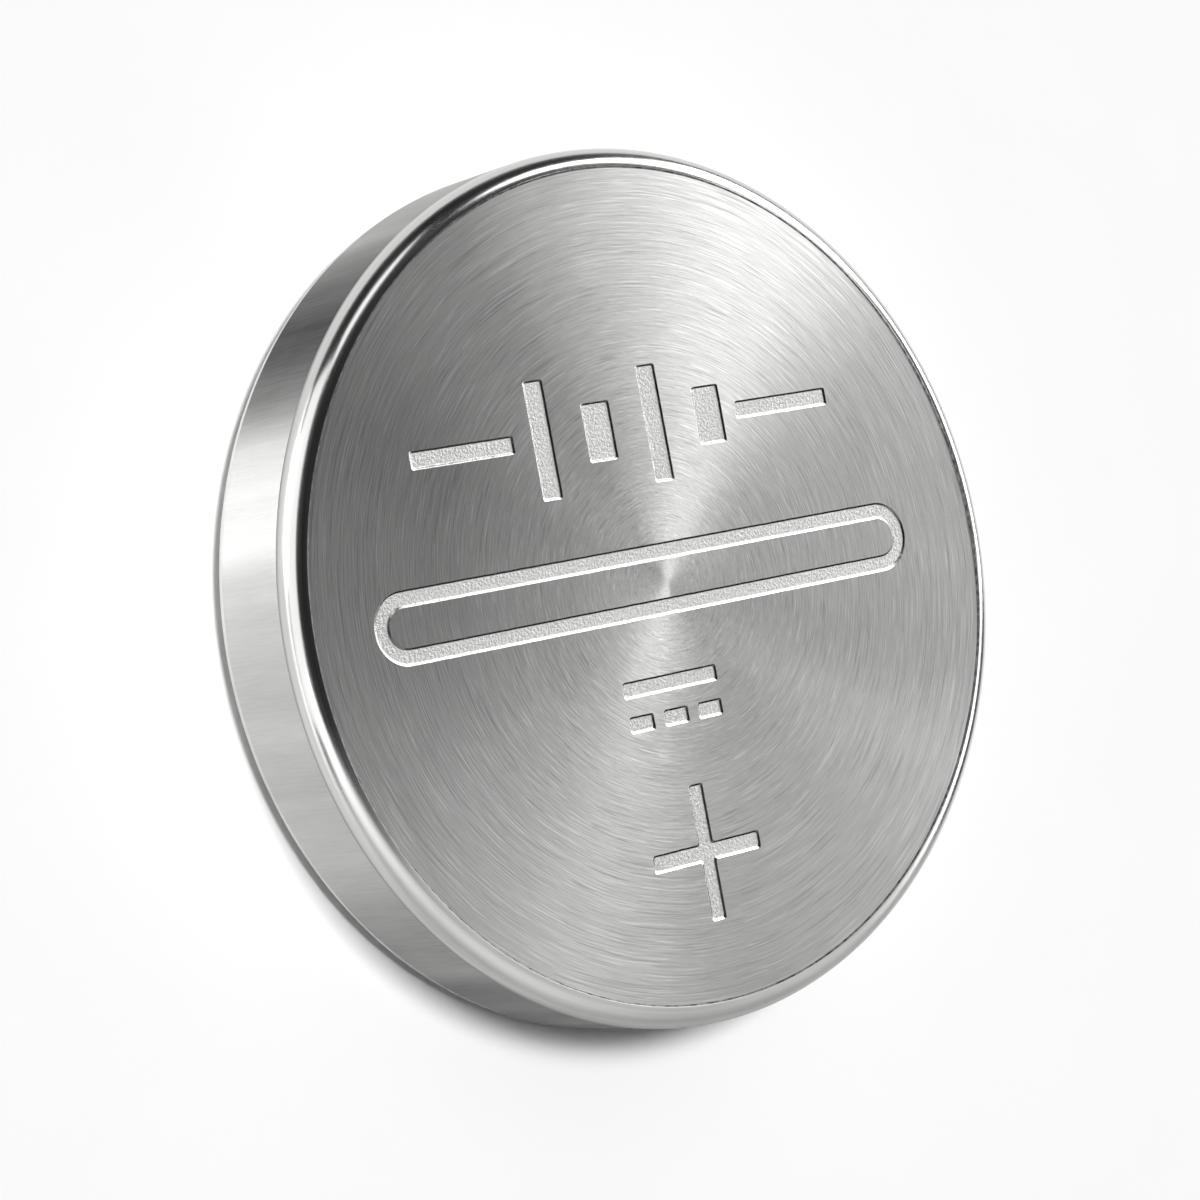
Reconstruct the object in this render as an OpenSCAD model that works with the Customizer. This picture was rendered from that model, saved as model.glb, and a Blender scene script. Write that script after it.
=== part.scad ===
// Lithium coin cell, flat and round, lying on its negative cap with the positive face up.
// The origin is the middle of the negative contact face. Sizes are in millimetres.

/* [Cell] */
// Outside diameter of the cell
cell_d = 12.5; // [11.5:0.1:16]
// Height over both contact faces
cell_h = 2.0; // [1.8:0.1:3.2]

/* [Positive can] */
// Thickness of the can's steel sheet
can_t = 0.20; // [0.15:0.01:0.25]
// Outside radius of the shoulder between the wall and the positive face
can_corner = 0.30; // [0.26:0.01:0.4]
// Depth of the brushed positive face below the polished rim bead
face_recess = 0.02; // [0.01:0.005:0.05]
// Width of the slope that leads from the rim bead down to the face
face_slope = 0.03; // [0.02:0.01:0.08]
// Outside radius of the crimp where the mouth is rolled inwards
crimp_r = 0.26; // [0.26:0.01:0.5]
// Distance that the crimped lip reaches in from the outside of the wall
lip_reach = 1.00; // [0.9:0.05:1.2]

/* [Negative cap] */
// Thickness of the cap's steel sheet
cap_t = 0.20; // [0.15:0.01:0.25]
// Outside radius between the negative face and the cap's wall
cap_corner = 0.30; // [0.26:0.01:0.4]
// Radius of the bend between the cap's wall and its flange
cap_bend = 0.10; // [0.05:0.01:0.15]
// Distance that the negative face stands proud of the crimped lip
cap_proud = 0.05; // [0.03:0.01:0.2]

/* [Gasket] */
// Thickness of the gasket between the can's wall and the cap's flange
gasket_wall = 0.35; // [0.25:0.01:0.4]
// Thickness of the gasket between the crimped lip and the cap's flange
gasket_foot = 0.28; // [0.22:0.01:0.4]
// Width of the plastic ring that shows between the lip and the cap
gasket_ring = 0.30; // [0.2:0.01:0.4]
// Distance that the plastic is squeezed out past the inside of the lip
gasket_swell = 0.12; // [0.08:0.01:0.15]
// Radius on the edges of the squeezed ring and of the ledge
gasket_round = 0.06; // [0.03:0.01:0.09]
// Height of the ledge that grips the cap's flange from inside
ledge_h = 0.30; // [0.2:0.01:0.4]
// Distance that the ledge reaches in over the flange
ledge_reach = 0.50; // [0.3:0.01:0.6]

/* [Electrodes] */
// Thickness of the lithium disc
anode_t = 0.35; // [0.25:0.01:0.5]
// Gap between the lithium disc and the cap's wall
anode_gap = 0.45; // [0.2:0.01:0.8]
// Thickness of the separator felt
separator_t = 0.12; // [0.05:0.01:0.18]
// Height of the separator's turned-up edge
separator_edge_h = 0.55; // [0.3:0.01:0.7]
// Gap between the separator's edge and the cap's wall
separator_gap = 0.10; // [0.02:0.01:0.2]
// Gap between the cathode pellet and the separator's edge
cathode_gap = 0.02; // [0:0.01:0.05]
// Chamfer on both edges of the pressed cathode pellet
cathode_chamfer = 0.10; // [0.05:0.01:0.15]

/* [Current collector] */
// Thickness of the steel grid behind the cathode pellet
collector_t = 0.06; // [0.03:0.01:0.1]
// Distance that the grid's rim stays inside the pellet's flat
collector_inset = 0.20; // [0.1:0.05:0.5]
// Width of the plain rim round the grid
collector_rim = 0.20; // [0.1:0.05:0.4]
// Distance between the middles of neighbouring openings
grid_pitch = 0.90; // [0.7:0.05:1.5]
// Width of the bars between the openings
grid_bar = 0.18; // [0.1:0.01:0.3]

/* [Hidden] */
$fn = 120;
// Radii from the outside inwards
can_r = cell_d / 2;
can_in_r = can_r - can_t;
face_r = can_r - can_corner - face_slope;
lip_r = can_r - lip_reach;
flange_r = can_in_r - gasket_wall;
cap_r = lip_r - gasket_ring;
dish_r = cap_r - cap_t;
separator_r = dish_r - separator_gap;
cathode_r = separator_r - separator_t - cathode_gap;
anode_r = dish_r - anode_gap;
collector_r = cathode_r - cathode_chamfer - collector_inset;
// Heights from the negative face up
lip_z = cap_proud;
lip_top_z = lip_z + can_t;
flange_z = lip_top_z + gasket_foot;
flange_top_z = flange_z + cap_t;
face_z = cell_h - face_recess;
can_floor_z = face_z - can_t;
anode_z = cap_t;
separator_z = anode_z + anode_t;
cathode_z = separator_z + separator_t;
collector_z = can_floor_z - collector_t;
// A length longer than anything it has to cut through
clear = cell_h;

// Half section of a round body: r from the axis to radius, with its two outer corners rounded
module half_section(radius, z_low, z_high, low_corner, high_corner) {
    translate([0, z_low + low_corner])
        square([radius, z_high - high_corner - z_low - low_corner]);
    translate([0, z_low])
        square([radius - low_corner, low_corner + high_corner]);
    translate([0, z_high - low_corner - high_corner])
        square([radius - high_corner, low_corner + high_corner]);
    translate([radius - low_corner, z_low + low_corner])
        circle(low_corner);
    translate([radius - high_corner, z_high - high_corner])
        circle(high_corner);
}

// Square block with one rounded edge at its low corner nearest the axis
module eased_block(r_in, z_low, width, height, ease) {
    translate([r_in + ease, z_low])
        square([width - ease, height]);
    translate([r_in, z_low + ease])
        square([width, height - ease]);
    translate([r_in + ease, z_low + ease])
        circle(ease);
}

// Space inside the can
module can_cavity() {
    half_section(can_in_r, lip_top_z, can_floor_z, crimp_r - can_t, can_corner - can_t);
}

// Can: drawn cup with a polished rim bead, its mouth crimped inwards to a rounded lip
module can_section() {
    difference() {
        half_section(can_r, lip_z, cell_h, crimp_r, can_corner);
        can_cavity();
        // the mouth
        translate([0, lip_z - clear])
            square([lip_r + can_t / 2, can_t + clear]);
        // the face, set below the bead
        polygon([[0, face_z], [face_r, face_z], [face_r + face_slope, cell_h],
                 [face_r + face_slope, cell_h + clear], [0, cell_h + clear]]);
    }
    // rounded edge of the lip
    translate([lip_r + can_t / 2, lip_z + can_t / 2])
        circle(can_t / 2);
}

// Cap: shallow dish whose wall bends out into a flat flange
module cap_section() {
    bend_out = cap_bend + cap_t;
    difference() {
        union() {
            translate([0, cap_corner])
                square([cap_r, flange_top_z - cap_corner]);
            square([cap_r - cap_corner, cap_corner]);
            translate([cap_r - cap_corner, cap_corner])
                circle(cap_corner);
            translate([0, flange_z])
                square([flange_r - cap_t / 2, cap_t]);
            translate([flange_r - cap_t / 2, flange_z + cap_t / 2])
                circle(cap_t / 2);
            // outside of the bend
            difference() {
                translate([cap_r, flange_z - cap_bend])
                    square(cap_bend);
                translate([cap_r + cap_bend, flange_z - cap_bend])
                    circle(cap_bend);
            }
        }
        // the dish
        translate([0, cap_corner])
            square([dish_r, clear]);
        translate([0, cap_t])
            square([cap_r - cap_corner, clear]);
        translate([cap_r - cap_corner, cap_corner])
            circle(cap_corner - cap_t);
        // inside of the bend
        difference() {
            translate([dish_r, flange_z - cap_bend])
                square(bend_out);
            translate([cap_r + cap_bend, flange_z - cap_bend])
                circle(bend_out);
        }
    }
}

// Gasket: ring that fills the crimp, grips the flange and shows as a thin line outside
module gasket_section() {
    difference() {
        union() {
            intersection() {
                can_cavity();
                gasket_blocks();
            }
            // ring squeezed out between the lip and the cap
            eased_block(cap_r, lip_top_z - gasket_swell, gasket_ring + can_t / 2, gasket_swell * 2,
                        gasket_round);
        }
        can_section();
        cap_section();
    }
}

// What the gasket fills inside the can, before the cap's flange is taken out of it
module gasket_blocks() {
    // wall along the can, up to the can's floor
    translate([flange_r, lip_top_z])
        square([gasket_wall, can_floor_z - lip_top_z]);
    // foot between the lip and the flange
    translate([cap_r, lip_top_z])
        square([can_in_r - cap_r, gasket_foot]);
    // groove round the flange's edge
    translate([flange_r - cap_t, flange_z])
        square([cap_t + gasket_wall, cap_t]);
    // ledge over the flange
    translate([0, 2 * flange_top_z + ledge_h])
        mirror([0, 1])
            eased_block(flange_r - ledge_reach, flange_top_z, ledge_reach + gasket_wall, ledge_h,
                        gasket_round);
}

// Grid of square openings, set on their corners, that stay clear of the rim
module grid_openings() {
    opening = grid_pitch - grid_bar;
    reach = collector_r - collector_rim - opening / sqrt(2);
    steps = ceil(collector_r / grid_pitch) + 1;
    for (i = [-steps:steps])
        for (j = [-steps:steps])
            let (x = (i - j) * grid_pitch / sqrt(2), y = (i + j) * grid_pitch / sqrt(2))
                if (norm([x, y]) <= reach)
                    translate([x, y])
                        rotate(45)
                            square(opening, center = true);
}

module positive_can() {
    color([0.74, 0.74, 0.73])
        rotate_extrude()
            can_section();
}

module negative_cap() {
    color([0.70, 0.70, 0.69])
        rotate_extrude()
            cap_section();
}

module gasket() {
    color([0.86, 0.86, 0.82])
        rotate_extrude()
            gasket_section();
}

// Lithium disc, punched from foil and pressed into the cap
module lithium_anode() {
    color([0.60, 0.61, 0.64])
        translate([0, 0, anode_z])
            cylinder(r = anode_r, h = anode_t);
}

// Felt cup between the electrodes, its edge turned up round the pellet
module separator() {
    color([0.95, 0.95, 0.93])
        translate([0, 0, separator_z])
            difference() {
                cylinder(r = separator_r, h = separator_t + separator_edge_h);
                translate([0, 0, separator_t])
                    cylinder(r = separator_r - separator_t, h = separator_edge_h + clear);
            }
}

// Cathode pellet: pressed tablet with chamfered edges that fills the height left over
module cathode_pellet() {
    pellet_h = collector_z - cathode_z;
    color([0.16, 0.16, 0.17])
        translate([0, 0, cathode_z])
            rotate_extrude()
                polygon([[0, 0], [cathode_r - cathode_chamfer, 0], [cathode_r, cathode_chamfer],
                         [cathode_r, pellet_h - cathode_chamfer],
                         [cathode_r - cathode_chamfer, pellet_h], [0, pellet_h]]);
}

// Steel grid that carries current from the pellet to the can
module current_collector() {
    color([0.66, 0.67, 0.68])
        translate([0, 0, collector_z])
            linear_extrude(collector_t)
                difference() {
                    circle(collector_r);
                    grid_openings();
                }
}

positive_can();
negative_cap();
gasket();
lithium_anode();
separator();
cathode_pellet();
current_collector();
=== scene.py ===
import math

import bmesh
import bpy
from mathutils import Matrix, Vector, geometry, noise


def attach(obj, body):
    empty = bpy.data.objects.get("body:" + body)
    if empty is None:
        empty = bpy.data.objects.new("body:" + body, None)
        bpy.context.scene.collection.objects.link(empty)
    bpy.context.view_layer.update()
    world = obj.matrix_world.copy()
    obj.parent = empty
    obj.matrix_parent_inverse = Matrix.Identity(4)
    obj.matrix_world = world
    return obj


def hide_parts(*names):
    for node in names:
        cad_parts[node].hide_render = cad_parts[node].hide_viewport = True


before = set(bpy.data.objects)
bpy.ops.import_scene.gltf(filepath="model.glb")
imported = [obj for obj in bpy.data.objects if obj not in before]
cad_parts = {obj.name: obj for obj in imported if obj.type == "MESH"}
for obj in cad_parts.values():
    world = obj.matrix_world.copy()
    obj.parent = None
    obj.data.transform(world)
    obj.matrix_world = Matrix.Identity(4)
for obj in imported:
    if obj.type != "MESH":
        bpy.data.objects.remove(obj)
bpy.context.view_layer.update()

# Sizes of the cell in millimetres, as in the solid model
MM = 0.001
CELL_R = 6.25
CELL_H = 2.0
CAN_T = 0.20
CAN_CORNER = 0.30
FACE_RECESS = 0.02
FACE_SLOPE = 0.03
CRIMP_R = 0.26
LIP_REACH = 1.00
CAP_T = 0.20
CAP_CORNER = 0.30
CAP_BEND = 0.10
CAP_PROUD = 0.05
GASKET_WALL = 0.35
GASKET_FOOT = 0.28
GASKET_RING = 0.30
GASKET_SWELL = 0.12
GASKET_ROUND = 0.06
LEDGE_H = 0.30
LEDGE_REACH = 0.50

CAN_IN_R = CELL_R - CAN_T
BEAD_R = CELL_R - CAN_CORNER
FACE_R = BEAD_R - FACE_SLOPE
LIP_R = CELL_R - LIP_REACH
FLANGE_R = CAN_IN_R - GASKET_WALL
CAP_R = LIP_R - GASKET_RING
LIP_Z = CAP_PROUD
LIP_TOP_Z = LIP_Z + CAN_T
FLANGE_Z = LIP_TOP_Z + GASKET_FOOT
FLANGE_TOP_Z = FLANGE_Z + CAP_T
FACE_Z = CELL_H - FACE_RECESS
CAN_FLOOR_Z = FACE_Z - CAN_T

# Middle of the lip's rounded edge
LIP_MID = (LIP_R + CAN_T / 2, LIP_Z + CAN_T / 2)

# Points on the slope from the face up to the bead: how far inside the bead's top and how far below it
SLOPE_POINTS = ((0.012, 0.009), (0.006, 0.003))

# Faces round each turned mesh
SEGMENTS = 288

# Marks on the face: their depth, and how wide their sides are. The die leaned a little as it struck, so
# the sides that look towards LEAN are wide and shallow, and the ones across from them are steep.
MARK_DEPTH = 0.021
MARK_SLOPE_WIDE = 0.035
MARK_SLOPE_STEEP = 0.028
LEAN = (0.64, 0.77)
LEAN_CONTRAST = 1.1
# Rings of vertices down a mark's side: how far across it and how far down, with both edges eased
SIDE_RINGS = ((0.0, 0.0), (0.12, 0.05), (0.90, 0.95), (1.0, 1.0))
# Distance between the points of an outline, and how far and how quickly the struck edge wavers
MARK_STEP = 0.035
MARK_WAVER = 0.003
WAVER_PER_MM = 9
WAVER_PER_MARK = 1.7
WAVER_SEED = 7
# Stroke widths and places of the marks
STROKE = 0.26
FINE_STROKE = 0.24
PLUS_AT = (-0.167, -3.837)
BATTERY_Y = 2.25
PANEL_AT = (-0.194, 0.063)
CURRENT_AT = (-0.263, -1.38)
DASH_STEP = 0.62
DASH_DROP = 0.49

# Camera: its distance from the middle of the negative face, its axes in the cell's frame, how far it is
# moved to its own right and up, and its lens
CAMERA_DISTANCE = 49.75
CAMERA_RIGHT = (0.78221, -0.18280, 0.59560)
CAMERA_UP = (0.15302, 0.98308, 0.10076)
CAMERA_BACK = (-0.60393, 0.01232, 0.79694)
CAMERA_ASIDE = 0.2345
CAMERA_RAISE = -0.0490
CAMERA_LENS = 102.5
SENSOR = 36.0

# Studio: its tones, and the heights, as a direction's sine, between which one passes into the other
HORIZON_TONE = 0.22
OVERHEAD_TONE = 0.02
HORIZON_TOP = 0.03
OVERHEAD_FROM = 0.20

# Soft lamps: name, azimuth and elevation, width and height in degrees as the cell sees them, radiance
CELL_LAMP_DISTANCE = 0.16
CELL_LAMPS = (
    ("key", 29, 36, 25, 12, 7.4),
    ("side", 336, 34, 23, 10, 4.9),
    ("gap", 351, 34, 10, 9, 3.2),
    ("front", 17, 21, 41, 13, 7.2),
    ("rim_light", 152, 9, 25, 12, 19.0),
    ("bead_light", 160, 37, 70, 42, 1.45),
    ("sheen", 46, 41, 12, 12, 3.6),
    ("fill", 247, 50, 72, 36, 1.8),
    ("top_left", 92, 47, 24, 14, 1.6),
    ("low_fill", 288, 40, 50, 34, 0.5),
    ("glow", 180, 6, 106, 12, 1.6),
)
FLOOR_LAMP_DISTANCE = 2.0
FLOOR_LAMPS = (
    ("floor_light", 118, 77, 15, 15, 44.2),
    ("floor_fill", 62, 50, 44, 44, 0.50),
)

# Colours; a noise lies mostly between NOISE_LOW and NOISE_HIGH
STEEL_TINT = (1.0, 0.995, 0.985)
NOISE_LOW = 0.3
NOISE_HIGH = 0.7

# Azimuths of the places where shade is painted on the steel: the side of the face darkened with painted shade,
# the satin stretch of the bead, which painted shade also darkens, and where the painted shade along the bead's
# foot reaches highest
FACE_PAINTED_SHADE_AT = 158
BEAD_SATIN_AND_SHADE_AT = 255
BEAD_FOOT_SHADE_AT = 262
# Places on the wall darkened with painted shade: azimuth, cosine of half their width, depth
WALL_PAINTED_SHADE = ((137, 0.960, 0.37), (259, 0.62, 0.40))


# Profiles: points (radius, height), each with the name of the part that starts there. The can's runs from
# the edge of its face to the axis, the cap's from the axis back to it, and the gasket's is closed.

def arc(cx, cy, radius, start, end, steps):
    """Points on an arc, its angles in degrees from the direction away from the axis."""
    out = []
    for i in range(steps + 1):
        a = math.radians(start + (end - start) * i / steps)
        out.append((cx + radius * math.cos(a), cy + radius * math.sin(a)))
    return out


def line(start, end, steps):
    """Points from start towards end, both left out."""
    return [(start[0] + (end[0] - start[0]) * i / steps, start[1] + (end[1] - start[1]) * i / steps)
            for i in range(1, steps)]


def can_inside():
    """Inside of the crimp and of the can's corner, which the gasket fills."""
    crimp = arc(CELL_R - CRIMP_R, LIP_Z + CRIMP_R, CRIMP_R - CAN_T, -90, 0, 8)
    corner = arc(BEAD_R, CAN_FLOOR_Z - CAN_CORNER + CAN_T, CAN_CORNER - CAN_T, 0, 90, 6)
    return crimp + corner


def flange_outside():
    """Cap's bend and flange from below, round the flange's edge, which the gasket grips."""
    bend = arc(CAP_R + CAP_BEND, FLANGE_Z - CAP_BEND, CAP_BEND, 180, 90, 8)
    edge = arc(FLANGE_R - CAP_T / 2, FLANGE_Z + CAP_T / 2, CAP_T / 2, -90, 90, 10)
    return bend + edge


def can_profile():
    """Can from the edge of its face round the outside and back to the axis inside."""
    slope = [(FACE_R, FACE_Z)] + [(BEAD_R - aside, CELL_H - down) for aside, down in SLOPE_POINTS]
    slope.append((BEAD_R, CELL_H))
    bead = arc(BEAD_R, CELL_H - CAN_CORNER, CAN_CORNER, 88, 0, 20)
    crimp = arc(CELL_R - CRIMP_R, LIP_Z + CRIMP_R, CRIMP_R, 0, -90, 16)
    lip = arc(*LIP_MID, CAN_T / 2, -90, -270, 12)
    wall = line(bead[-1], crimp[0], 6)
    points = [(p, "seam") for p in slope[:2]]
    points += [(p, "rim") for p in slope[2:] + bead[:-1]]
    points += [(p, "wall") for p in bead[-1:] + wall]
    points += [(p, "crimp") for p in crimp + lip]
    points += [(p, "inside") for p in can_inside()]
    points.append(((0.0, CAN_FLOOR_Z), "inside"))
    return points


def cap_profile():
    """Cap from the middle of its contact face round the flange and back to the axis inside."""
    flat_r = CAP_R - CAP_CORNER
    points = [(0.0, 0.0)]
    points += line((0.0, 0.0), (flat_r, 0.0), 12)
    points += arc(flat_r, CAP_CORNER, CAP_CORNER, -90, 0, 16)
    points += flange_outside()
    points += arc(CAP_R + CAP_BEND, FLANGE_Z - CAP_BEND, CAP_BEND + CAP_T, 90, 180, 8)
    points += arc(flat_r, CAP_CORNER, CAP_CORNER - CAP_T, 0, -90, 6)
    points.append((0.0, CAP_T))
    return [(p, "cap") for p in points]


def gasket_profile():
    """Gasket ring, which fills the crimp, grips the cap's flange and swells out under the lip."""
    ease = GASKET_ROUND
    swell_z = LIP_TOP_Z - GASKET_SWELL
    below_mid = swell_z - LIP_MID[1]
    aside = math.sqrt((CAN_T / 2) ** 2 - below_mid ** 2)
    start = math.degrees(math.atan2(below_mid, -aside)) % 360
    points = arc(CAP_R + ease, swell_z + ease, ease, 180, 270, 6)
    points += line(points[-1], (LIP_MID[0] - aside, swell_z), 6)
    points += arc(*LIP_MID, CAN_T / 2, start, 90, 10)
    points += can_inside()
    points += [(FLANGE_R, CAN_FLOOR_Z), (FLANGE_R, FLANGE_TOP_Z + LEDGE_H)]
    ledge_r = FLANGE_R - LEDGE_REACH
    points += arc(ledge_r + ease, FLANGE_TOP_Z + LEDGE_H - ease, ease, 90, 180, 4)
    points.append((ledge_r, FLANGE_TOP_Z))
    points += flange_outside()[::-1]
    return [(p, "gasket") for p in points]


# Marks: each is a list of pairs of loops, along the top and the bottom of its side, with the sunk side on
# their left

def left_of(way):
    """Direction across an outline, to its left."""
    return Vector((-way.y, way.x))


def side_width(left):
    """Width of the mark's side that faces a direction."""
    t = min(1.0, max(0.0, 0.5 + left.dot(Vector(LEAN)) * LEAN_CONTRAST))
    return MARK_SLOPE_STEEP + (MARK_SLOPE_WIDE - MARK_SLOPE_STEEP) * t * t * (3 - 2 * t)


def smoothed(vectors):
    """Vectors round a loop, each the mean of itself and its neighbours."""
    count = len(vectors)
    return [(vectors[i - 1] + vectors[i] * 2 + vectors[(i + 1) % count]) / 4 for i in range(count)]


def next_ones(items):
    """Each item of a loop with the one after it."""
    return zip(items, items[1:] + items[:1])


def walked(corners, steps):
    """Closed outline in short steps, with its corners eased."""
    sides = zip(next_ones(corners), steps)
    return smoothed([a.lerp(b, k / count) for (a, b), count in sides for k in range(count)])


def straight_sided(corners):
    """Pair of loops of a mark with straight sides."""
    corners = [Vector(c) for c in corners]
    steps, sides = [], []
    for a, b in next_ones(corners):
        way = (b - a).normalized()
        left = left_of(way)
        steps.append(max(2, round((b - a).length / MARK_STEP)))
        sides.append((a + left * side_width(left), way))
    # the lower corners are where the sides cross once they are moved in by their widths
    lower = []
    for i, (q, e) in enumerate(sides):
        p, d = sides[i - 1]
        lower.append(p + d * ((q - p).cross(e) / d.cross(e)))
    return walked(corners, steps), walked(lower, steps)


def round_sided(loop):
    """Pair of loops of a mark whose outline has no corners."""
    lower = []
    for i, p in enumerate(loop):
        left = left_of((loop[(i + 1) % len(loop)] - loop[i - 1]).normalized())
        lower.append(p + left * side_width(left))
    return loop, lower


def bar(x, y, width, height):
    """Sunk bar with its middle at x, y."""
    w, h = width / 2, height / 2
    return [straight_sided([(x - w, y - h), (x + w, y - h), (x + w, y + h), (x - w, y + h)])]


def plus(x, y, size, stroke):
    """Sign of the positive pole."""
    a, s = size / 2, stroke / 2
    corners = [(-s, -a), (s, -a), (s, -s), (a, -s), (a, s), (s, s), (s, a), (-s, a), (-s, s), (-a, s),
               (-a, -s), (-s, -s)]
    return [straight_sided([(x + px, y + py) for px, py in corners])]


def frame_line(x, y, width, height, stroke):
    """Sunk line round an empty rounded panel."""
    loops = []
    reach = width / 2 - height / 2
    for inset, turn in ((0.0, 1), (stroke, -1)):
        r = height / 2 - inset
        ends = [Vector((x + reach + px, y + py)) for px, py in arc(0, 0, r, -90, 90, 24)]
        ends += [Vector((x - reach + px, y + py)) for px, py in arc(0, 0, r, 90, 270, 24)]
        steps = [max(1, round((b - a).length / MARK_STEP)) for a, b in next_ones(ends)]
        loops.append(round_sided(walked(ends, steps)[::turn]))
    return loops


def face_marks():
    """All marks on the positive face."""
    marks = [plus(*PLUS_AT, 1.95, STROKE)]
    # a battery's circuit symbol: two cells, each a long and a short plate, and a lead on each side
    for x, height, stroke in ((-1.69, 1.68, 0.34), (-0.69, 0.84, 0.50), (0.31, 1.68, 0.34), (1.31, 0.84, 0.50)):
        marks.append(bar(x, BATTERY_Y, stroke, height))
    for x in (-3.06, 2.68):
        marks.append(bar(x, BATTERY_Y, 1.75, STROKE))
    # an empty panel
    marks.append(frame_line(*PANEL_AT, 9.6, 1.02, FINE_STROKE))
    # the sign of direct current: a line over three dashes
    x, y = CURRENT_AT
    marks.append(bar(x, y, 1.70, FINE_STROKE))
    for step in (-1, 0, 1):
        marks.append(bar(x + step * DASH_STEP, y - DASH_DROP, 0.44, FINE_STROKE))
    return marks


def waver(loop, seed):
    """Slight unevenness of a struck edge, for each point of a loop."""
    out = []
    for p in loop:
        n = noise.noise_vector(Vector((p.x * WAVER_PER_MM, p.y * WAVER_PER_MM, seed)))
        out.append(Vector((n.x, n.y)) * MARK_WAVER)
    return out


# Meshes

def ring(bm, radius, height):
    """Ring of vertices, or one vertex on the axis."""
    if radius < 1e-9:
        return [bm.verts.new((0, 0, height * MM))]
    step = 2 * math.pi / SEGMENTS
    return [bm.verts.new((radius * MM * math.cos(i * step), radius * MM * math.sin(i * step), height * MM))
            for i in range(SEGMENTS)]


def add_face(bm, corners, slot):
    """Smooth face in a material slot."""
    face = bm.faces.new(corners)
    face.material_index = slot
    face.smooth = True


def skin(bm, low, high, slot):
    """Faces between two rings."""
    for i in range(SEGMENTS):
        j = (i + 1) % SEGMENTS
        corners = [low[i % len(low)], low[j % len(low)], high[j % len(high)], high[i % len(high)]]
        add_face(bm, [v for k, v in enumerate(corners) if v not in corners[:k]], slot)


def turned(bm, profile, slots, closed):
    """Rings of a profile joined by faces; each face takes the part named at its first point."""
    rings = [ring(bm, *point) for point, _ in profile]
    for i, (_, part) in enumerate(profile):
        if closed or i + 1 < len(rings):
            skin(bm, rings[i], rings[(i + 1) % len(rings)], slots[part])
    return rings


def keep_sharp(bm, loop):
    """Marks the edges of a closed loop of vertices as sharp, and makes the ones that don't exist yet."""
    for a, b in next_ones(loop):
        edge = bm.edges.get((a, b)) or bm.edges.new((a, b))
        edge.smooth = False


def edge_key(a, b):
    """Name of an edge, the same from both sides."""
    return min(a, b), max(a, b)


def inner_triangles(triangles, borders):
    """Triangles that an odd number of border lines parts from the outside."""
    beside = {}
    for number, corners in enumerate(triangles):
        for a, b in next_ones(corners):
            beside.setdefault(edge_key(a, b), []).append(number)
    parity = {}
    waiting = [(touching[0], int(edge in borders)) for edge, touching in beside.items() if len(touching) == 1]
    while waiting:
        number, odd = waiting.pop()
        if number in parity:
            continue
        parity[number] = odd
        for a, b in next_ones(triangles[number]):
            edge = edge_key(a, b)
            waiting += [(other, odd ^ (edge in borders)) for other in beside[edge] if other != number]
    return [corners for number, corners in enumerate(triangles) if parity[number]]


def filled(bm, loops, slot):
    """Flat faces inside the first loop of vertices and outside the others."""
    verts, sides = [], []
    for loop in loops:
        numbers = list(range(len(verts), len(verts) + len(loop)))
        sides += next_ones(numbers)
        verts += loop
    flat = [Vector((v.co.x / MM, v.co.y / MM)) for v in verts]
    _, _, made, sources, _, _ = geometry.delaunay_2d_cdt(flat, sides, [], 0, 1e-6, True)
    triangles = [[sources[k][0] for k in corners] for corners in made]
    for corners in inner_triangles(triangles, {edge_key(a, b) for a, b in sides}):
        add_face(bm, [verts[k] for k in corners], slot)


def sink_marks(bm, marks, slots):
    """Sides and floors of the marks; returns the loops where they meet the face."""
    noise.seed_set(WAVER_SEED)
    outer, islands = [], []
    for number, loops in enumerate(marks):
        floor_loops = []
        for index, (upper, lower) in enumerate(loops):
            shifts = waver(upper, number * WAVER_PER_MARK)
            rings = []
            for aside, down in SIDE_RINGS:
                z = (FACE_Z - MARK_DEPTH * down) * MM
                moved = [a.lerp(b, aside) + shift for a, b, shift in zip(upper, lower, shifts)]
                here = [bm.verts.new((p.x * MM, p.y * MM, z)) for p in moved]
                if not rings:
                    keep_sharp(bm, here)
                else:
                    for (a, b), (c, d) in zip(next_ones(rings[-1]), next_ones(here)):
                        add_face(bm, (a, b, d, c), slots["mark side"])
                rings.append(here)
            keep_sharp(bm, rings[-1])
            (islands if index else outer).append(rings[0])
            floor_loops.append(rings[-1])
        filled(bm, floor_loops, slots["mark floor"])
    for loop in islands:
        filled(bm, [loop], slots["face"])
    return outer


def finished_object(bm, name, materials, sharp_angle, replaced):
    """Object in the frame, riding on the cell's body and standing for its solid."""
    bmesh.ops.recalc_face_normals(bm, faces=bm.faces)
    for edge in bm.edges:
        if edge.calc_face_angle(0.0) > math.radians(sharp_angle):
            edge.smooth = False
    mesh = bpy.data.meshes.new(name)
    bm.to_mesh(mesh)
    bm.free()
    for material in materials:
        mesh.materials.append(material)
    obj = bpy.data.objects.new(name, mesh)
    bpy.context.scene.collection.objects.link(obj)
    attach(obj, "root")
    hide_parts(replaced)
    return obj


# Materials

def set_range(node, from_low, from_high, to_low, to_high):
    """Numbers of a Map Range node."""
    for key, number in (("From Min", from_low), ("From Max", from_high), ("To Min", to_low),
                        ("To Max", to_high)):
        node.inputs[key].default_value = number


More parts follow.
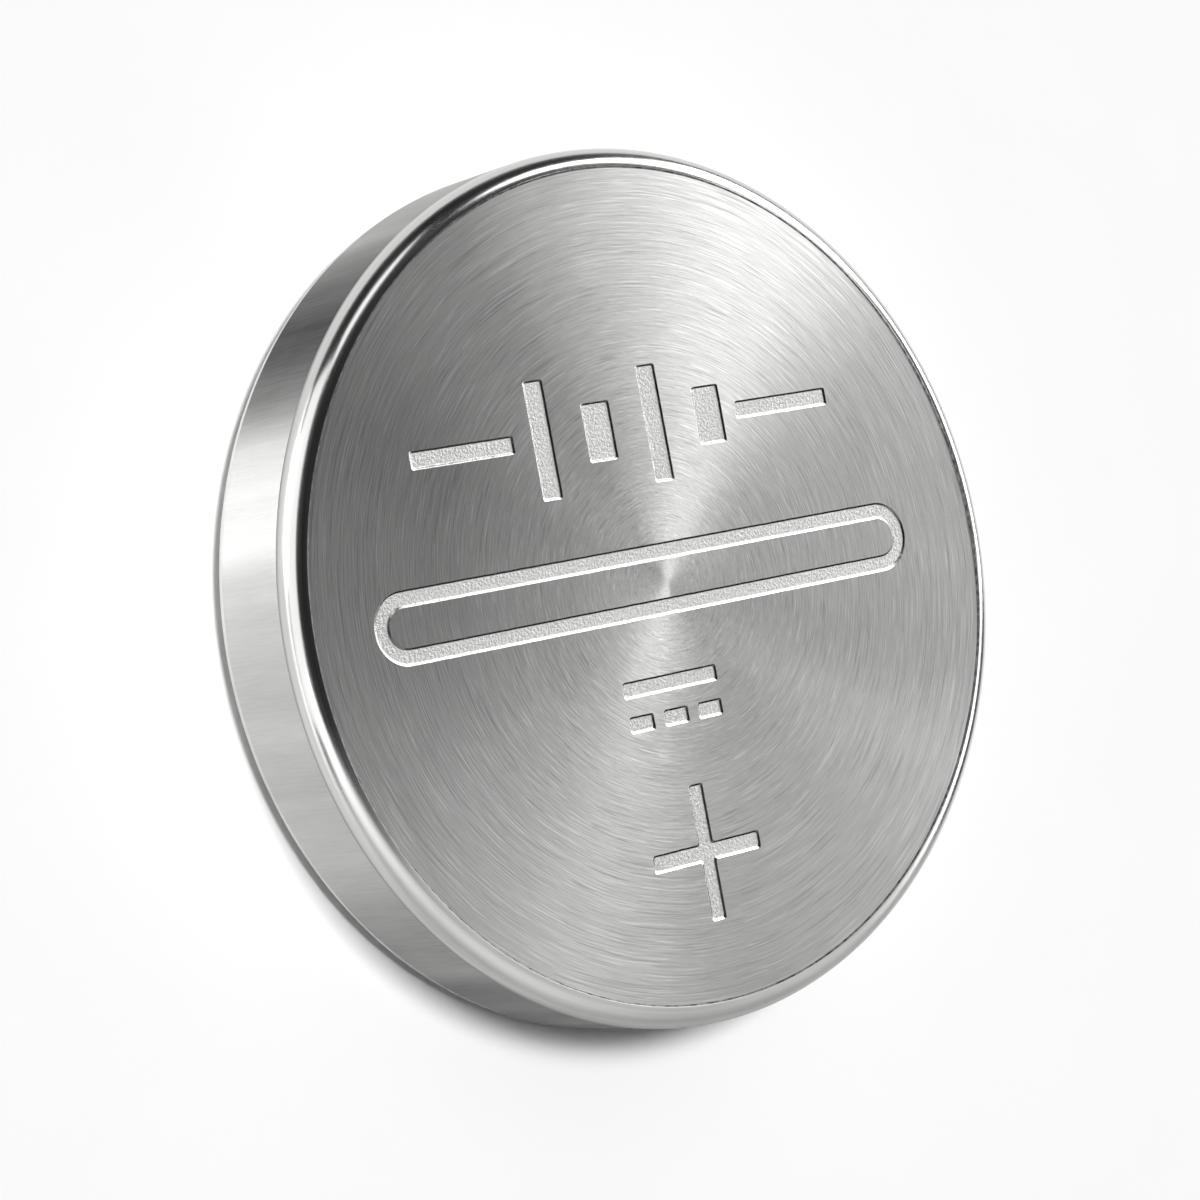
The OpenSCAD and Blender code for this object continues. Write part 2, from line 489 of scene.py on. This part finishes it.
class Nodes:
    """Short way to write a material's nodes. Lengths are in millimetres, except in noises of coords."""

    def __init__(self, name):
        self.material = bpy.data.materials.new(name)
        self.material.use_nodes = True
        self.tree = self.material.node_tree
        self.shader = self.tree.nodes["Principled BSDF"]
        self.coords = self.add("ShaderNodeTexCoord").outputs["Object"]

    def add(self, kind, **settings):
        node = self.tree.nodes.new(kind)
        for key, value in settings.items():
            setattr(node, key, value)
        return node

    def put(self, value, socket):
        """Links an output to a socket, or sets the socket to a number."""
        if hasattr(value, "links"):
            self.tree.links.new(value, socket)
        else:
            socket.default_value = value

    def math(self, operation, *values):
        node = self.add("ShaderNodeMath", operation=operation)
        for value, socket in zip(values, node.inputs):
            self.put(value, socket)
        return node.outputs[0]

    def plus(self, a, b):
        return self.math("ADD", a, b)

    def minus(self, a, b):
        return self.math("SUBTRACT", a, b)

    def times(self, a, b):
        return self.math("MULTIPLY", a, b)

    def split(self, vector):
        """X, Y and Z of a vector."""
        node = self.add("ShaderNodeSeparateXYZ")
        self.put(vector, node.inputs[0])
        return tuple(node.outputs)

    def polar(self):
        """Radius, height and the unit direction from the axis."""
        x, y, z = (self.times(part, 1 / MM) for part in self.split(self.coords))
        radius = self.math("SQRT", self.plus(self.times(x, x), self.times(y, y)))
        safe = self.math("MAXIMUM", radius, 0.001)
        return radius, z, self.math("DIVIDE", x, safe), self.math("DIVIDE", y, safe)

    def vector(self, x, y, z):
        node = self.add("ShaderNodeCombineXYZ")
        for value, socket in zip((x, y, z), node.inputs):
            self.put(value, socket)
        return node.outputs[0]

    def around(self, cx, cy, turns, across):
        """Place for a noise that runs round the axis: its fineness round it, and its third coordinate."""
        return self.vector(self.times(cx, turns), self.times(cy, turns), across)

    def noise(self, vector, scale=1.0, detail=2.0, rough=0.5):
        node = self.add("ShaderNodeTexNoise")
        self.put(vector, node.inputs["Vector"])
        node.inputs["Scale"].default_value = scale
        node.inputs["Detail"].default_value = detail
        node.inputs["Roughness"].default_value = rough
        return node.outputs[0]

    def spread(self, value, from_low, from_high, to_low, to_high):
        """Value moved from one range into another, and held inside it."""
        node = self.add("ShaderNodeMapRange")
        self.put(value, node.inputs["Value"])
        set_range(node, from_low, from_high, to_low, to_high)
        return node.outputs[0]

    def vary(self, grain, low, high):
        """Value from low to high, as a noise goes."""
        return self.spread(grain, NOISE_LOW, NOISE_HIGH, low, high)

    def ahead(self, cx, cy, azimuth):
        """Cosine of the angle round the axis from an azimuth."""
        a = math.radians(azimuth)
        return self.plus(self.times(cx, math.cos(a)), self.times(cy, math.sin(a)))

    def grey(self, value, tint=(1.0, 1.0, 1.0)):
        """Colour of a tint times a value."""
        return self.vector(*(self.times(value, part) for part in tint))

    def bump(self, height, distance, strength, normal=None):
        node = self.add("ShaderNodeBump")
        node.inputs["Distance"].default_value = distance * MM
        node.inputs["Strength"].default_value = strength
        self.put(height, node.inputs["Height"])
        if normal is not None:
            self.put(normal, node.inputs["Normal"])
        return node.outputs[0]

    def brushed_round(self, anisotropy):
        """Scratches that run round the axis: a quarter turn from the radial tangent's own direction."""
        tangent = self.add("ShaderNodeTangent", direction_type="RADIAL", axis="Z")
        self.put(tangent.outputs[0], self.shader.inputs["Tangent"])
        self.shader.inputs["Anisotropic"].default_value = anisotropy
        self.shader.inputs["Anisotropic Rotation"].default_value = 0.25

    def finish(self, colour, roughness, normal=None, metallic=1.0):
        self.shader.inputs["Metallic"].default_value = metallic
        self.put(colour, self.shader.inputs["Base Color"])
        self.put(roughness, self.shader.inputs["Roughness"])
        if normal is not None:
            self.put(normal, self.shader.inputs["Normal"])
        return self.material


def face_steel():
    """Positive face: brushed in circles, with fine grooves, short scratches and one side darkened with painted
    shade.
    """
    n = Nodes("face_steel")
    radius, _, cx, cy = n.polar()
    wander = n.plus(radius, n.times(n.noise(n.coords, 900.0, 1.0), 0.05))

    def grooves(spacing, turns, detail, rough=0.5):
        return n.noise(n.around(cx, cy, turns, n.times(wander, 1 / spacing)), 1.0, detail, rough)

    fine = grooves(0.021, 3.5, 1.0, 0.6)
    short = grooves(0.024, 16.0, 1.0, 0.6)
    broad = grooves(0.16, 1.5, 2.0)
    bright = n.spread(grooves(0.024, 6.0, 0.0), 0.64, 0.72, 0.0, 1.0)
    dark = n.spread(grooves(0.026, 5.0, 0.0), 0.27, 0.35, 1.0, 0.0)
    shade = n.plus(n.spread(fine, 0.28, 0.72, 0.56, 0.66), n.times(n.minus(bright, dark), 0.11))
    shade = n.plus(shade, n.vary(short, -0.03, 0.03))
    # Painted shade: the face is darker on one side, more so away from its middle.
    painted_face_shade = n.times(n.spread(n.ahead(cx, cy, FACE_PAINTED_SHADE_AT), 0.64, 1.0, 0.0, 0.38),
                      n.spread(radius, 1.0, 4.0, 0.0, 1.0))
    shade = n.times(shade, n.minus(1.0, painted_face_shade))
    middle = n.spread(radius, 0.2, 1.8, 0.10, 0.0)
    rough = n.plus(n.vary(broad, 0.335, 0.355), middle)
    normal = n.bump(n.plus(fine, short), 0.0030, 0.6)
    normal = n.bump(broad, 0.0015, 0.5, normal)
    n.brushed_round(0.88)
    return n.finish(n.grey(shade, STEEL_TINT), rough, normal)


def rim_steel():
    """Rim bead: polished, with hair-fine lines round it, satin and darkened with painted shade on one side, and
    darkened with painted shade along its foot.
    """
    n = Nodes("rim_steel")
    radius, z, cx, cy = n.polar()
    lines = n.noise(n.around(cx, cy, 3.0, n.times(n.plus(radius, z), 40.0)))
    # Painted shade: the bead is rougher and also darker towards its satin stretch.
    satin_and_shade = n.spread(n.ahead(cx, cy, BEAD_SATIN_AND_SHADE_AT), 0.40, 0.80, 0.0, 1.0)
    # Painted shade: the bead is darker along its foot, and the darkening reaches highest on one side.
    foot_shade_height = n.spread(n.ahead(cx, cy, BEAD_FOOT_SHADE_AT), 0.80, 1.0, 0.06, 0.20)
    climb = n.math("DIVIDE", n.minus(z, CELL_H - CAN_CORNER), foot_shade_height)
    shade = n.times(n.vary(lines, 0.60, 0.68), n.spread(climb, 0.0, 1.0, 0.35, 1.0))
    shade = n.times(shade, n.minus(1.0, n.times(satin_and_shade, 0.14)))
    rough = n.plus(n.vary(lines, 0.14, 0.20), n.times(satin_and_shade, 0.32))
    n.brushed_round(0.5)
    return n.finish(n.grey(shade, STEEL_TINT), rough, n.bump(lines, 0.0008, 0.5))


def seam_shaded_steel():
    """Foot of the bead next to the face: painted shade makes it dark and ragged, and it is rough."""
    n = Nodes("seam_shaded_steel")
    radius, _, cx, cy = n.polar()
    ragged = n.noise(n.around(cx, cy, 60.0, radius))
    # Painted shade: the whole seam is dark, its tone ragged round the axis.
    return n.finish(n.grey(n.spread(ragged, 0.35, 0.65, 0.06, 0.26), STEEL_TINT), n.vary(ragged, 0.6, 0.5))


def wall_steel():
    """Wall: drawn steel with faint streaks along the axis and random broad tone, darkened with painted shade in
    two places.
    """
    n = Nodes("wall_steel")
    _, z, cx, cy = n.polar()
    streaks = n.noise(n.around(cx, cy, 220.0, n.times(z, 1.6)), detail=3.0)
    lines = n.noise(n.around(cx, cy, 3.0, n.times(z, 30.0)))
    bands = n.noise(n.around(cx, cy, 9.0, n.times(z, 0.1)))
    tone_and_painted_shade = n.vary(bands, -0.05, 0.05)
    # Painted shade: the wall is darker at the two places listed above.
    for azimuth, edge, depth in WALL_PAINTED_SHADE:
        tone_and_painted_shade = n.minus(tone_and_painted_shade, n.spread(n.ahead(cx, cy, azimuth), edge, 1.0, 0.0, depth))
    shade = n.plus(n.vary(streaks, 0.49, 0.54), tone_and_painted_shade)
    n.brushed_round(0.89)
    return n.finish(n.grey(shade, STEEL_TINT), n.vary(lines, 0.45, 0.50),
                    n.bump(streaks, 0.002, 0.6, n.bump(lines, 0.001, 0.4)))


def crimp_steel():
    """Crimp and lip: rolled steel with short rubbing marks round it."""
    n = Nodes("crimp_steel")
    radius, _, cx, cy = n.polar()
    lines = n.noise(n.around(cx, cy, 8.0, n.times(radius, 30.0)))
    n.brushed_round(0.6)
    return n.finish(n.grey(n.vary(lines, 0.60, 0.68), STEEL_TINT), n.vary(lines, 0.36, 0.44),
                    n.bump(lines, 0.0015, 0.5))


def mark_floor_steel():
    """Floors of the marks: stippled by the tool that struck them."""
    n = Nodes("mark_floor_steel")
    stipple = n.noise(n.coords, 24000.0, 2.0, 0.6)
    return n.finish(n.grey(n.vary(stipple, 0.46, 0.72), STEEL_TINT), n.vary(stipple, 0.50, 0.62),
                    n.bump(stipple, 0.030, 0.9))


def mark_side_steel():
    """Sides of the marks: uneven steel, with painted shade that makes the steep sides, which face away from
    LEAN, dark.
    """
    n = Nodes("mark_side_steel")
    uneven = n.noise(n.coords, 16000.0)
    # Painted shade: the sides that face away from LEAN are made dark.
    x, y, _ = n.split(n.add("ShaderNodeNewGeometry").outputs["Normal"])
    lean_for_painted_shade = n.plus(n.times(x, LEAN[0]), n.times(y, LEAN[1]))
    shade = n.times(n.vary(uneven, 0.64, 0.76), n.spread(lean_for_painted_shade, -0.35, 0.1, 0.12, 1.0))
    return n.finish(n.grey(shade, STEEL_TINT), n.vary(uneven, 0.20, 0.28), n.bump(uneven, 0.003, 0.5))


def inside_steel():
    """Inside of the can: bare drawn steel."""
    n = Nodes("inside_steel")
    mottled = n.noise(n.coords, 3000.0, 3.0)
    return n.finish(n.grey(n.vary(mottled, 0.52, 0.60), STEEL_TINT), n.vary(mottled, 0.35, 0.45),
                    n.bump(mottled, 0.002, 0.5))


def cap_steel():
    """Negative cap: satin steel with faint grain and rubbing marks."""
    n = Nodes("cap_steel")
    radius, _, cx, cy = n.polar()
    lines = n.noise(n.around(cx, cy, 3.0, n.times(radius, 22.0)), detail=3.0)
    n.brushed_round(0.6)
    return n.finish(n.grey(n.vary(lines, 0.55, 0.64), STEEL_TINT), n.vary(lines, 0.30, 0.40),
                    n.bump(lines, 0.002, 0.5))


def gasket_plastic():
    """Milky polypropylene."""
    n = Nodes("gasket_plastic")
    cloudy = n.noise(n.coords, 2500.0, 3.0)
    return n.finish(n.grey(n.vary(cloudy, 0.78, 0.84), (1.0, 1.0, 0.96)), n.vary(cloudy, 0.38, 0.5),
                    n.bump(cloudy, 0.004, 0.5), metallic=0.0)


def lithium_metal():
    """Dull lithium foil, rolled along one direction."""
    n = Nodes("lithium_metal")
    rolled = n.add("ShaderNodeMapping")
    n.put(n.coords, rolled.inputs[0])
    rolled.inputs["Scale"].default_value = (600.0, 9000.0, 600.0)
    grain = n.noise(rolled.outputs[0], detail=3.0)
    return n.finish(n.grey(n.vary(grain, 0.42, 0.58), (0.97, 0.98, 1.0)), n.vary(grain, 0.42, 0.6),
                    n.bump(grain, 0.004, 0.6))


def separator_felt():
    """White felted fibres."""
    n = Nodes("separator_felt")
    fibres = n.noise(n.coords, 16000.0, 4.0, 0.7)
    return n.finish(n.grey(n.vary(fibres, 0.76, 0.88), (1.0, 1.0, 0.98)), n.vary(fibres, 0.8, 0.95),
                    n.bump(fibres, 0.02, 0.8), metallic=0.0)


def cathode_mix():
    """Black pressed powder with a few bright grains."""
    n = Nodes("cathode_mix")
    powder = n.noise(n.coords, 20000.0, 4.0, 0.7)
    grains = n.spread(n.noise(n.coords, 42000.0, 0.0), 0.72, 0.8, 0.0, 0.12)
    shade = n.plus(n.vary(powder, 0.015, 0.05), grains)
    return n.finish(n.grey(shade), n.vary(powder, 0.7, 0.9), n.bump(powder, 0.015, 0.8), metallic=0.0)


def grid_steel():
    """Bright steel of the current collector."""
    n = Nodes("grid_steel")
    grain = n.noise(n.coords, 9000.0)
    return n.finish(n.grey(n.vary(grain, 0.55, 0.65), (0.98, 0.99, 1.0)), n.vary(grain, 0.25, 0.38),
                    n.bump(grain, 0.002, 0.5))


# Pieces

def build_can():
    parts = {"face": face_steel, "seam": seam_shaded_steel, "rim": rim_steel, "wall": wall_steel,
             "crimp": crimp_steel, "inside": inside_steel, "mark side": mark_side_steel,
             "mark floor": mark_floor_steel}
    materials = [make() for make in parts.values()]
    slots = {part: index for index, part in enumerate(parts)}
    bm = bmesh.new()
    rings = turned(bm, can_profile(), slots, closed=False)
    keep_sharp(bm, rings[0])
    filled(bm, [rings[0]] + sink_marks(bm, face_marks(), slots), slots["face"])
    return finished_object(bm, "can_shell", materials, 25, "positive_can")


def build_cap():
    bm = bmesh.new()
    turned(bm, cap_profile(), {"cap": 0}, closed=False)
    return finished_object(bm, "cap_shell", [cap_steel()], 30, "negative_cap")


def build_gasket():
    bm = bmesh.new()
    turned(bm, gasket_profile(), {"gasket": 0}, closed=True)
    return finished_object(bm, "gasket_ring", [gasket_plastic()], 30, "gasket")


def dress_inside():
    """Materials of the sealed pieces, which keep their solids."""
    for node, material in (("lithium_anode", lithium_metal()), ("separator", separator_felt()),
                           ("cathode_pellet", cathode_mix()), ("current_collector", grid_steel())):
        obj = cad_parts[node]
        obj.data.materials.clear()
        obj.data.materials.append(material)


# Stage

def add_lamps(lamps, distance, lit):
    """Soft lamps at a distance, which light one group only."""
    for name, azimuth, elevation, width, height, radiance in lamps:
        a, e = math.radians(azimuth), math.radians(elevation)
        away = Vector((math.cos(a) * math.cos(e), math.sin(a) * math.cos(e), math.sin(e)))
        data = bpy.data.lights.new(name, "AREA")
        data.shape = "RECTANGLE"
        data.size = 2 * distance * math.tan(math.radians(width / 2))
        data.size_y = 2 * distance * math.tan(math.radians(height / 2))
        data.energy = radiance * math.pi * data.size * data.size_y
        lamp = bpy.data.objects.new(name, data)
        lamp.location = away * distance
        lamp.rotation_euler = away.to_track_quat("Z", "Y").to_euler()
        lamp.visible_camera = False
        lamp.light_linking.receiver_collection = lit
        bpy.context.scene.collection.objects.link(lamp)


def add_floor():
    """Plain pale floor under the cell."""
    n = Nodes("floor")
    mottled = n.noise(n.coords, 300.0)
    n.finish(n.grey(n.vary(mottled, 0.935, 0.945)), 0.9, metallic=0.0)
    n.shader.inputs["Specular IOR Level"].default_value = 0.0
    bm = bmesh.new()
    bmesh.ops.create_circle(bm, cap_ends=True, segments=96, radius=1.2)
    mesh = bpy.data.meshes.new("floor")
    bm.to_mesh(mesh)
    bm.free()
    mesh.materials.append(n.material)
    obj = bpy.data.objects.new("floor", mesh)
    bpy.context.scene.collection.objects.link(obj)
    return obj


def group(name, objects):
    """Collection for the lamps, outside the scene's own."""
    made = bpy.data.collections.new(name)
    for obj in objects:
        made.objects.link(obj)
    return made


def add_surroundings():
    """Studio tone: light along the horizon, dark overhead."""
    world = bpy.data.worlds.new("studio")
    world.use_nodes = True
    bpy.context.scene.world = world
    nodes, links = world.node_tree.nodes, world.node_tree.links
    split = nodes.new("ShaderNodeSeparateXYZ")
    links.new(nodes.new("ShaderNodeTexCoord").outputs["Generated"], split.inputs[0])
    tone = nodes.new("ShaderNodeMapRange")
    tone.interpolation_type = "SMOOTHSTEP"
    links.new(split.outputs[2], tone.inputs["Value"])
    set_range(tone, HORIZON_TOP, OVERHEAD_FROM, HORIZON_TONE, OVERHEAD_TONE)
    links.new(tone.outputs[0], nodes["Background"].inputs[0])


def add_camera():
    right, up, back = Vector(CAMERA_RIGHT), Vector(CAMERA_UP), Vector(CAMERA_BACK)
    data = bpy.data.cameras.new("camera")
    data.lens = CAMERA_LENS
    data.sensor_width = SENSOR
    data.clip_start, data.clip_end = 0.001, 10.0
    obj = bpy.data.objects.new("camera", data)
    place = (back * CAMERA_DISTANCE + right * CAMERA_ASIDE + up * CAMERA_RAISE) * MM
    turn = Matrix((right, up, back)).transposed().to_4x4()
    obj.matrix_world = Matrix.Translation(place) @ turn
    bpy.context.scene.collection.objects.link(obj)
    bpy.context.scene.camera = obj


bpy.context.scene.view_settings.view_transform = "Standard"
add_camera()
add_surroundings()
ground = group("ground", [add_floor()])
cell = group("cell", [build_can(), build_cap(), build_gasket()])
dress_inside()
add_lamps(CELL_LAMPS, CELL_LAMP_DISTANCE, cell)
add_lamps(FLOOR_LAMPS, FLOOR_LAMP_DISTANCE, ground)
